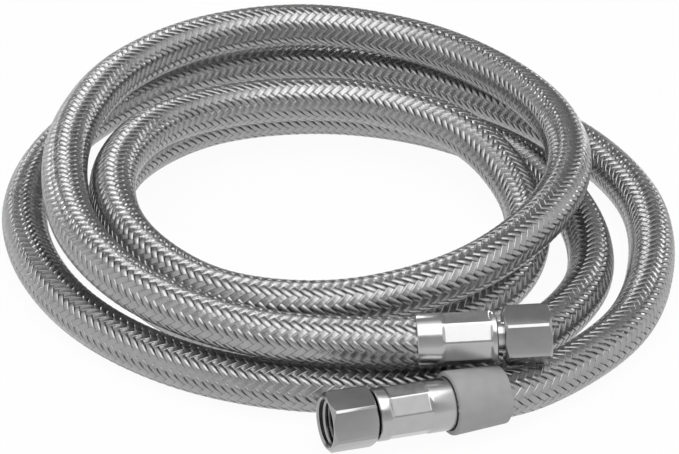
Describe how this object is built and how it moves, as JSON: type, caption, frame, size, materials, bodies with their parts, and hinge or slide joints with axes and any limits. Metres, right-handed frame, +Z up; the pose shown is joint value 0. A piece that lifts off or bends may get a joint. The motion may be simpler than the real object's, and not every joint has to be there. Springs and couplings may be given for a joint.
{
  "type": "icemaker supply hose",
  "caption": "Flexible water supply hose in woven steel, loosely coiled, with a crimped ferrule and a hexagonal swivel nut on each end.",
  "frame": {"origin": "on the floor that the coil lies on, below the middle of the whole object's box", "axes": "+Z up; +Y away from the side where both fittings lie; +X to the right seen from that side"},
  "size_m": [0.1711, 0.2, 0.0277],
  "materials": {
    "braided_steel": "woven bright wire",
    "tube_plastic": "smooth",
    "bright_plate": "bright plated",
    "nut_plate": "satin plated",
    "washer_rubber": "matte",
    "grey_plastic": "matte"
  },
  "bodies": {
    "hose": {"braided_sleeve": "braided_steel", "inner_tube": "tube_plastic", "ferrule_a": "bright_plate", "hose_stem_a": "bright_plate", "cone_washer_a": "washer_rubber", "ferrule_b": "bright_plate", "hose_stem_b": "bright_plate", "cone_washer_b": "washer_rubber", "grey_sleeve": "grey_plastic"},
    "nut_a": {"swivel_nut_a": "nut_plate"},
    "nut_b": {"swivel_nut_b": "nut_plate"}
  },
  "joints": [
    {"name": "nut_a_swivel", "type": "hinge", "parent": "hose", "child": "nut_a", "pos_m": [0.0362, -0.0716, 0.0196], "axis": [0.9978, 0.0587, 0.0293], "continuous": true},
    {"name": "nut_b_swivel", "type": "hinge", "parent": "hose", "child": "nut_b", "pos_m": [0.0104, -0.0886, 0.0089], "axis": [-0.9409, -0.336, 0.042], "continuous": true}
  ]
}
